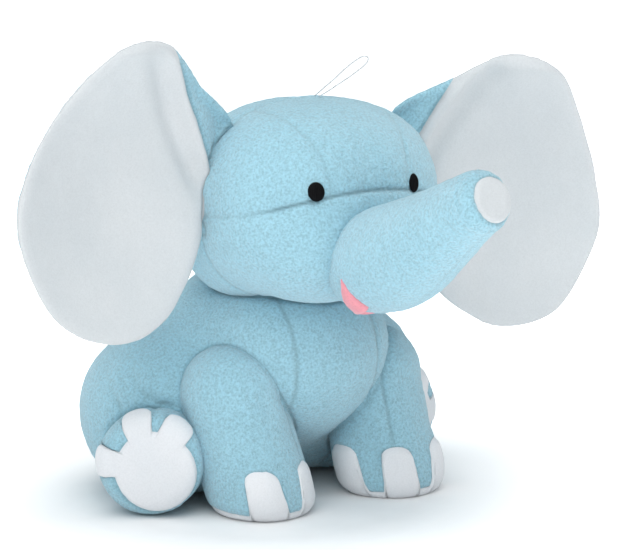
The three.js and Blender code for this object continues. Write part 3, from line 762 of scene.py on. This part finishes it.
def add_limb(name, limb, place, parent_gap, seams, seed):
    """The blue tube and the white end of one limb, pressed in where it meets its parent."""
    angles = np.arange(LIMB_COLUMNS) * 360 / LIMB_COLUMNS
    border = edge_of(limb, angles)
    border = (np.roll(border, 1) + 2 * border + np.roll(border, -1)) / 4
    steps = np.linspace(0, 1, LIMB_ROWS) ** 1.05
    run = cloth_length(limb) - border + HEM
    q = (border - HEM)[None, :] + steps[:, None] * run[None, :]
    tuck = ramp(q - border[None, :], -HEM, 2.2) - 1
    radius, along = profile(limb, q)
    points = place(radius, along, np.broadcast_to(angles, q.shape)).reshape(-1, 3)
    skin = new_mesh(f"{name}_skin", points, tube_faces(LIMB_ROWS, LIMB_COLUMNS))
    outward(skin)
    tuck = tuck + puffed(limb, q, angles[None, :])
    points = points + mesh_normals(skin) * tuck.reshape(-1, 1)
    move_points(skin, points)
    gap = parent_gap(points)
    if limb["sunk"]:
        deep = (1 - ramp(along.ravel(), 0, ROOT_REACH)) * np.maximum(gap + ROOT_DEPTH, 0)
        points = points - mesh_normals(skin) * deep[:, None]
        move_points(skin, points)
        gap = parent_gap(points)
    # The creases at the parent and along the seams press in and paint shade into them.
    creases = [(gap, np.full(len(points), 0.25), 3)]
    flat_angles = np.broadcast_to(angles, q.shape).ravel()
    for seam in seams:
        aside = np.radians((flat_angles - seam + 180) % 360 - 180) * radius.ravel()
        creases.append((aside, limb["seam"] * ramp(q.ravel() - border.max(), 0, 5)))
    cover(skin, creases, lumps=0.6, seed=seed)
    # Painted shade along the border where the blue tucks in beside the white, joined to the creases' painted
    # shade in the seam attribute.
    edge_shade = bell(q.ravel() - np.broadcast_to(border, q.shape).ravel() - 0.2, 0.9) * 0.5
    shade = np.empty(len(points))
    skin.data.attributes["seam"].data.foreach_get("value", shade)
    store(skin, "seam", np.maximum(shade, edge_shade))
    keep_points(skin, gap > -LIMB_BURIED)
    return skin, add_sole(name, limb, place, angles, border, seed)


def add_sole(name, limb, place, angles, border, seed):
    shares = np.linspace(0, 1, SOLE_ROWS + 1)[::-1][:-1, None]
    q = shares * (border + LIP)[None, :]
    inset = q - border[None, :]
    rise = PROUD * (1 - ramp(inset, -2.4, LIP)) - TUCKED * ramp(inset, -1.0, LIP)
    rise = rise + puffed(limb, q, angles[None, :])
    radius, along = profile(limb, q)
    points = place(radius, along, np.broadcast_to(angles, q.shape)).reshape(-1, 3)
    middle = place(*profile(limb, np.zeros(1)), np.zeros(1)).reshape(1, 3)
    points = np.vstack([points, middle])
    faces = tube_faces(SOLE_ROWS, LIMB_COLUMNS) + fan_faces(SOLE_ROWS, LIMB_COLUMNS)
    sole = new_mesh(f"{name}_sole", points, faces)
    outward(sole)
    rise = np.append(rise.ravel(), PROUD)
    move_points(sole, points + mesh_normals(sole) * rise[:, None])
    cover(sole, [], lumps=0.35, pile=0.35, seed=seed + 50)
    return sole


HIND_LEG_BEND = 30  # millimetres from its root along the leg; the two points found with it are not used


def add_leg(kind, side, limb, place, seams, seed):
    name = name_of(side)
    label = f"{kind}_{name}"
    skin, sole = add_limb(label, limb, place(side, limb), torso_distance, seams, seed)
    blue = ("outer_panel", "inner_panel", "stuffing")
    white = ("sole", "inner_nail", "middle_nail", "outer_nail")
    finish(skin, FLEECE, "blue_fleece", *(f"{label}_{part}" for part in blue))
    finish(sole, VELOUR, "white_velour", *(f"{label}_{part}" for part in white))
    if limb is HIND_LEG:
        start = root_of(limb, side)
        end = start + heading(side, limb["turn"][name]) * HIND_LEG_BEND
    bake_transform(skin)
    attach(sole, label)


# The seams are given as angles around the leg, and the last number seeds its noise.
def add_legs():
    for side in SIDES.values():
        add_leg("front_leg", side, FRONT_LEG, place_front_leg, (-1, 180), 31 + side)
        add_leg("hind_leg", side, HIND_LEG, place_hind_leg, (-2, 180), 41 + side)


def add_trunk():
    skin, cap = add_limb("trunk", TRUNK, place_trunk, head_distance, (0, 180), 61)
    finish(skin, FLEECE, "blue_fleece", "trunk_left_panel", "trunk_right_panel", "trunk_stuffing")
    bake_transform(skin)
    # The tip takes the greyer copy of the white velour: painted shade.
    finish(cap, SHADED_VELOUR, "white_velour", "trunk_tip")
    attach(cap, "trunk")


# ---- Ears ----

EAR_OUTLINE = [
    (43, 191), (58, 167), (66, 141), (76, 120), (96, 102.5), (126, 96), (156, 111),
    (170, 150), (162, 181), (143, 210), (118, 234), (90, 235), (68, 215),
]
EAR_MIDDLE = vec(113, 163)
HINGE_TOP, HINGE_BOTTOM = vec(43, -45, 191), vec(64, -45, 142)
EAR_SWEEP = {"left": 17, "right": -2}
EAR_DROOP = {"left": 11.5, "right": 0}
EAR_RINGS, EAR_SECTORS = 62, 340
EAR_CUP = {"depth": 13, "sag": 0.25, "farthest": 1.4}
EAR_FRONT, EAR_BACK, EAR_RIM = -3.3, 2.8, 6.5  # faces either side of the middle, and the rim's round
# The lining stops at a fold: a ridge and then a valley beside it, in its upper part.
FOLD = {
    "bow_width": 9, "ridge": 3.4, "ridge_at": 3.8, "ridge_width": 3.6, "valley": 3.6,
    "valley_at": 12, "valley_width": 5.5, "seam": 1.5, "seam_width": 1.4, "slope": 0.42,
    "heights": (150, 182),
}
FOLDS = {"left": (vec(74, 230), vec(57, 173)), "right": (vec(86, 231), vec(59.5, 173.6))}


def rotate(points, pivot, axis, degrees):
    turn = Matrix.Rotation(np.radians(degrees), 3, Vector(axis).normalized())
    return (points - pivot) @ np.array(turn).T + pivot


def place_ear(points, name):
    side = SIDES[name]
    top, bottom = HINGE_TOP * vec(side, 1, 1), HINGE_BOTTOM * vec(side, 1, 1)
    pivot = (top + bottom) / 2
    points = rotate(points * vec(side, 1, 1), pivot, (0, 1, 0), side * EAR_DROOP[name])
    return rotate(points, pivot, top - bottom, -side * EAR_SWEEP[name])


def flat_ear():
    """A closed leaf in the ear's own plane: y is -1 on the front, 1 on the back and 0 at the rim."""
    rim = catmull(EAR_OUTLINE, EAR_SECTORS, closed=True)
    share = np.arange(1, EAR_RINGS + 1) / EAR_RINGS
    share = 0.55 * share + 0.45 * np.sin(share * np.pi / 2)
    points, faces, index = [], [], {}
    for layer in (-1, 1):
        index[layer] = len(points)
        points.append((EAR_MIDDLE[0], layer, EAR_MIDDLE[1]))
        for ring in share[:-1]:
            flat = EAR_MIDDLE + (rim - EAR_MIDDLE) * ring
            points += [(x, layer, z) for x, z in flat]
    edge = len(points)
    points += [(x, 0, z) for x, z in rim]
    for layer in (-1, 1):
        first = index[layer]

        def at(ring, sector):
            sector %= EAR_SECTORS
            if ring == EAR_RINGS:
                return edge + sector
            return first + 1 + (ring - 1) * EAR_SECTORS + sector

        for i in range(EAR_SECTORS):
            faces.append([first, at(1, i), at(1, i + 1)][::layer])
            for ring in range(1, EAR_RINGS):
                quad = [at(ring, i), at(ring + 1, i), at(ring + 1, i + 1), at(ring, i + 1)]
                faces.append(quad[::layer])
    return np.array(points, float), faces, rim


def edge_distance(flat, rim):
    """How far each flat point lies from the outline."""
    nearest = np.full(len(flat), np.inf)
    for i in range(len(rim)):
        start, end = rim[i], rim[(i + 1) % len(rim)]
        nearest = np.minimum(nearest, from_axis(flat, start, end)[0])
    return nearest


def fold_side(flat, top, bottom):
    """Signed distance from the fold where the lining stops: above zero on the lining."""
    line = (bottom - top) / np.linalg.norm(bottom - top)
    return (flat - top) @ vec(-line[1], line[0])


def add_ear(name):
    points, faces, rim = flat_ear()
    ear = new_mesh(f"ear_{name}", points, faces)
    mesh = bmesh.new()
    mesh.from_mesh(ear.data)
    fold_top, fold_bottom = FOLDS[name]
    line = fold_bottom - fold_top
    geometry = mesh.verts[:] + mesh.edges[:] + mesh.faces[:]
    bmesh.ops.bisect_plane(
        mesh, geom=geometry, dist=1e-7, plane_co=(fold_top[0] * MM, 0, fold_top[1] * MM),
        plane_no=(-line[1], 0, line[0]),
    )
    mesh.to_mesh(ear.data)
    mesh.free()
    points = mesh_points(ear)
    layer = np.sign(np.round(points[:, 1], 3))
    flat = points[:, [0, 2]]
    inset = edge_distance(flat, rim)
    fold = fold_side(flat, fold_top, fold_bottom)
    along = np.clip((fold_top[1] - flat[:, 1]) / (fold_top[1] - fold_bottom[1]), 0, 1)
    bow = np.sin(np.pi * along) * bell(fold, FOLD["bow_width"])
    x, z = flat[:, 0] - bow, flat[:, 1]

    spread = np.linalg.norm(flat - EAR_MIDDLE, axis=1) / (EAR_MIDDLE[0] - HINGE_BOTTOM[0])
    root = ramp(x, HINGE_TOP[0], EAR_MIDDLE[0])
    cup = EAR_CUP["depth"] * root * (np.minimum(spread, EAR_CUP["farthest"]) ** 2 - EAR_CUP["sag"])
    roundness = np.sqrt(1 - (1 - np.clip(inset / EAR_RIM, 0, 1)) ** 2)
    front = layer < 0
    depth = np.where(front, EAR_FRONT, EAR_BACK) * roundness * np.abs(layer)
    fade = ramp(inset, 0, 7) * ramp(-z, -236, -222)  # flat at the rim and at the ear's top
    ridge = FOLD["ridge"] * bell(fold - FOLD["ridge_at"], FOLD["ridge_width"])
    valley = FOLD["valley"] * bell(fold - FOLD["valley_at"], FOLD["valley_width"])
    relief = (ridge - valley) * ramp(z, *FOLD["heights"])
    relief = relief - FOLD["seam"] * bell(fold, FOLD["seam_width"]) - FOLD["slope"] * np.clip(-fold, 0, 12)
    depth = np.where(front, depth - relief * fade, depth)
    points = np.stack([x, HEAD[0][1] - cup + depth, z], axis=1)
    move_points(ear, place_ear(points, name))
    outward(ear)
    placed = mesh_points(ear)
    pile = np.where(front, 0.3 + 0.7 * ramp(-fold, -1, 1), 1)
    everywhere = np.ones(len(points))
    # These creases paint shade: where the ear meets the head, around the back's rim, and along the lining's
    # fold.
    creases = [
        (head_distance(placed) - 0.5, everywhere * 0.9),
        (inset, np.where(front, 0.0, 0.25)),
        (np.where(front, fold, 99), everywhere * 0.5 * fade),
    ]
    cover(ear, creases, lumps=0.75, pile=pile, seed=71 + SIDES[name])

    lining = set()
    for face in ear.data.polygons:
        members = list(face.vertices)
        if np.mean(layer[members]) < -0.1 and np.mean(fold[members]) > 0:
            lining.add(face.index)
    split_ear(ear, name, lining)


EAR_BURIED = 7
EAR_OUT, EAR_BEND = vec(0.92, 0, 0.39), (1, 17)  # a direction out from its root, and distances along it in mm; the points made from them are not used


def split_ear(ear, name, lining):
    side = SIDES[name]
    middle = (HINGE_TOP + HINGE_BOTTOM) / 2 * vec(side, 1, 1)
    out = EAR_OUT * vec(side, 1, 1)
    # The lining half takes the greyer copy of the white velour: painted shade.
    halves = {
        "lining": (SHADED_VELOUR, "white_velour", (f"ear_lining_{name}", f"ear_batting_{name}")),
        "back": (FLEECE, "blue_fleece", (f"ear_back_{name}",)),
    }
    for half, (material, slot, nodes) in halves.items():
        mesh = bmesh.new()
        mesh.from_mesh(ear.data)
        gone = [f for f in mesh.faces if (f.index in lining) != (half == "lining")]
        bmesh.ops.delete(mesh, geom=gone, context="FACES")
        data = bpy.data.meshes.new(f"ear_{half}_{name}_cloth")
        depth = head_distance(np.array([v.co[:] for v in mesh.verts]) / MM)
        buried = [v for v, near in zip(mesh.verts, depth) if near < -EAR_BURIED]
        bmesh.ops.delete(mesh, geom=buried, context="VERTS")
        mesh.to_mesh(data)
        mesh.free()
        data.shade_smooth()
        obj = bpy.data.objects.new(f"ear_{half}_{name}_cloth", data)
        bpy.context.scene.collection.objects.link(obj)
        finish(obj, material, slot, *nodes)
        start, end = ((middle + out * at) * MM for at in EAR_BEND)
        tuple(start)
        tuple(end)
        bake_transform(obj)
    bpy.data.objects.remove(ear)


# ---- Eyes, mouth and tail ----

EYE_CENTRE, EYE_HEIGHT = vec(28.8, 164.4), 9.4
EYE_WIDTH = {"left": 6, "right": 8.2}
EYE_SHIFT = -1.7
EYE_SUNK, EYE_DOME = 0.5, 1.9
STITCH_PITCH, STITCH_HEIGHT = 0.62, 0.09


def head_front(x, z):
    """The points of the head's front surface over a flat grid."""
    starts = np.stack([x, np.full_like(x, HEAD[0][1] - 5), z], axis=1)
    return push_out(np.tile(vec(0, -1, 0), (len(x), 1)), starts, head_distance, reach=90)


def add_eyes():
    rings, columns = 26, 96
    angle = np.arange(columns) * 2 * np.pi / columns
    share = np.linspace(1, 0.04, rings)
    for name, side in SIDES.items():
        u = (share[:, None] * np.cos(angle)).ravel()
        w = (share[:, None] * np.sin(angle)).ravel()
        u, w = np.append(u, 0), np.append(w, 0)
        x = side * (EYE_CENTRE[0] + u * EYE_WIDTH[name] / 2) + EYE_SHIFT
        z = EYE_CENTRE[1] + w * EYE_HEIGHT / 2
        points = head_front(x, z)
        reach = np.hypot(u, w)
        satin = STITCH_HEIGHT * np.sin(u * EYE_WIDTH[name] * np.pi / STITCH_PITCH) * (1 - reach**6)
        height = -EYE_SUNK + EYE_DOME * np.sqrt(np.clip(1 - reach**3.2, 0, 1)) + satin
        faces = tube_faces(rings, columns) + fan_faces(rings, columns)
        eye = new_mesh(f"eye_{name}_stitching", points, faces)
        outward(eye)
        normals = points - (HEAD[0] + vec(0, 15, 0))
        normals /= np.linalg.norm(normals, axis=1)[:, None]
        move_points(eye, points + normals * height[:, None])
        finish(eye, THREAD, "eye_thread", f"eye_{name}")
        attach(eye, "head")


# The mouth's lining wraps the underside of the trunk's root, and comes to a point on each side.
MOUTH = {"half_turn": 74, "tip": 15.3, "front": 4.4, "notch": 12, "back": 9, "thin": 0.7, "thick": 2.7}


def add_mouth():
    rows, columns = 120, 40
    share = np.linspace(-1, 1, rows)[:, None]
    around = (np.arange(columns) * 2 * np.pi / columns)[None, :]
    aside = np.abs(share)
    front = MOUTH["tip"] + MOUTH["front"] * (1 - aside**1.5)
    front = front - MOUTH["notch"] * (1 - ramp(aside, 0.24, 0.46))
    back = MOUTH["tip"] - MOUTH["back"] * (1 - aside**2) - 0.3
    along = (front + back) / 2 + (front - back) / 2 * np.cos(around)
    thick = MOUTH["thin"] + (MOUTH["thick"] - MOUTH["thin"]) * ramp(1 - aside, 0, 0.45)
    radius = smooth_interp(along / TRUNK["length"], *np.array(TRUNK_WIDTHS).T) + thick * np.sin(around)
    turn = 180 + MOUTH["half_turn"] * share * np.ones_like(around)
    points = place_trunk(radius, along, turn).reshape(-1, 3)
    faces = tube_faces(rows, columns)
    lining = new_mesh("mouth_lining_cloth", points, faces + end_faces(rows, columns))
    outward(lining)
    cover(lining, [], lumps=0.3, pile=0.4, seed=91)
    finish(lining, MOUTH_VELOUR, "mouth_velour", "mouth_lining")
    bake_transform(lining)


TUFT = {"radius": 6.2, "beyond": 4.55, "locks": 7, "lock_height": 0.5}


def add_tail():
    across = np.cross(TAIL_HEADING, vec(1, 0, 0))
    rows, columns = 70, 56
    along = np.linspace(-6, TAIL["length"] + 2, rows)
    angle = np.arange(columns) * 2 * np.pi / columns
    radius = TAIL["radius"] * (1 - TAIL["taper"] * np.clip(along, 0, None) / TAIL["length"])
    radius = radius + TAIL["collar"] * bell(along, 3)
    ring = vec(1, 0, 0) * np.sin(angle)[:, None] + across * np.cos(angle)[:, None]
    points = TAIL["root"] + TAIL_HEADING * along[:, None, None] + ring * radius[:, None, None]
    points = points.reshape(-1, 3)
    skin = new_mesh("tail_skin", points, tube_faces(rows, columns) + end_faces(rows, columns))
    outward(skin)
    flat_angle = np.tile(angle, rows)
    seam = np.abs(np.sin((flat_angle - np.pi) / 2)) * 2 * TAIL["radius"]
    # The crease along the tail's seam is pressed in and painted with shade.
    cover(skin, [(seam, 0.35 * np.ones(len(points)))], lumps=0.25, seed=101)
    finish(skin, FLEECE, "blue_fleece", "tail")
    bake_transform(skin)

    rays, faces = ball_faces(6)
    lean = rays @ TAIL_HEADING
    turn = np.arctan2(rays @ vec(1, 0, 0), rays @ across)
    sway = 1.5 * lattice_noise(rays * 10, 6, 111)
    locks = TUFT["lock_height"] * np.sin(turn * TUFT["locks"] + sway) * (1 - lean**2)
    stretch = 1 + 0.14 * lean
    middle = TAIL["root"] + TAIL_HEADING * (TAIL["length"] + TUFT["beyond"])
    points = middle + rays * ((TUFT["radius"] + locks) * stretch)[:, None]
    tuft = new_mesh("tail_tuft_cloth", points, faces)
    cover(tuft, [], lumps=0.3, pile=1.6, seed=112)
    finish(tuft, VELOUR, "white_velour", "tail_tuft")
    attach(tuft, "tail")


# ---- Floor and light ----

# The paper glows except under the toy: distances from the shadow's centre in metres, and levels.
FLOOR_RADII = (300, 1500, 9000)
SHADOW_CENTRE = (-0.02, -0.03, 0)
FLOOR_GLOW = ((0.08, 0), (0.125, 0.26), (0.19, 0.6), (0.4, 0.86))


def add_floor():
    sides = 96
    angle = np.arange(sides) * 2 * np.pi / sides
    circle = np.stack([np.cos(angle), np.sin(angle), np.zeros(sides)], axis=1)
    points = np.vstack([*(circle * r for r in FLOOR_RADII), [[0, 0, 0]]])
    rings = len(FLOOR_RADII)
    faces = tube_faces(rings, sides) + [[rings * sides, i, (i + 1) % sides] for i in range(sides)]
    floor = new_mesh("floor", points, faces)
    outward(floor)
    material = new_material("floor_paper", roughness=0.9)
    place = add_node(material, "ShaderNodeTexCoord").outputs["Object"]
    grain = add_node(material, "ShaderNodeTexNoise", Scale=60.0, Detail=3.0)
    material.node_tree.links.new(place, grain.inputs["Vector"])
    shades = [(0.3, (0.86, 0.865, 0.87)), (0.7, (0.885, 0.89, 0.895))]
    tone = colour_ramp(material, grain.outputs["Fac"], shades)
    material.node_tree.links.new(tone, socket(material, "Base Color"))
    away = add_node(material, "ShaderNodeVectorMath", operation="LENGTH")
    beside = add_node(material, "ShaderNodeVectorMath", operation="SUBTRACT")
    material.node_tree.links.new(place, beside.inputs[0])
    beside.inputs[1].default_value = SHADOW_CENTRE
    material.node_tree.links.new(beside.outputs["Vector"], away.inputs[0])
    levels = [(at, (level, level, level)) for at, level in FLOOR_GLOW]
    glow = colour_ramp(material, away.outputs["Value"], levels)
    material.node_tree.links.new(glow, socket(material, "Emission Color"))
    socket(material, "Emission Strength").default_value = 1.0
    floor.data.materials.append(material)


def add_light(name, azimuth, elevation, distance, size, power, colour=(1, 1, 1)):
    data = bpy.data.lights.new(name, "AREA")
    data.shape, data.size, data.energy, data.color = "DISK", size, power, colour
    lamp = bpy.data.objects.new(name, data)
    back = direction_to_camera(azimuth, elevation)
    lamp.location = CAMERA_TARGET * MM + back * distance
    lamp.rotation_euler = Vector(back).to_track_quat("Z", "Y").to_euler()
    bpy.context.scene.collection.objects.link(lamp)


def add_world(strength, colour):
    world = bpy.data.worlds.new("studio")
    world.use_nodes = True
    sky = world.node_tree.nodes["Background"]
    sky.inputs["Color"].default_value = (*colour, 1)
    sky.inputs["Strength"].default_value = strength
    bpy.context.scene.world = world


add_head()
add_torso()
add_legs()
add_trunk()
for ear_name in SIDES:
    add_ear(ear_name)
add_eyes()
add_mouth()
add_tail()
add_floor()
add_light("key", -62, 58, 1.5, 1.9, 12, (1, 0.98, 0.96))
add_light("top", -20, 80, 1.5, 1.5, 9)
add_light("front", -35, 28, 1.7, 1.4, 4.2, (1, 0.985, 0.965))
add_world(0.4, (0.86, 0.95, 1))
bpy.context.scene.view_settings.view_transform = "Standard"
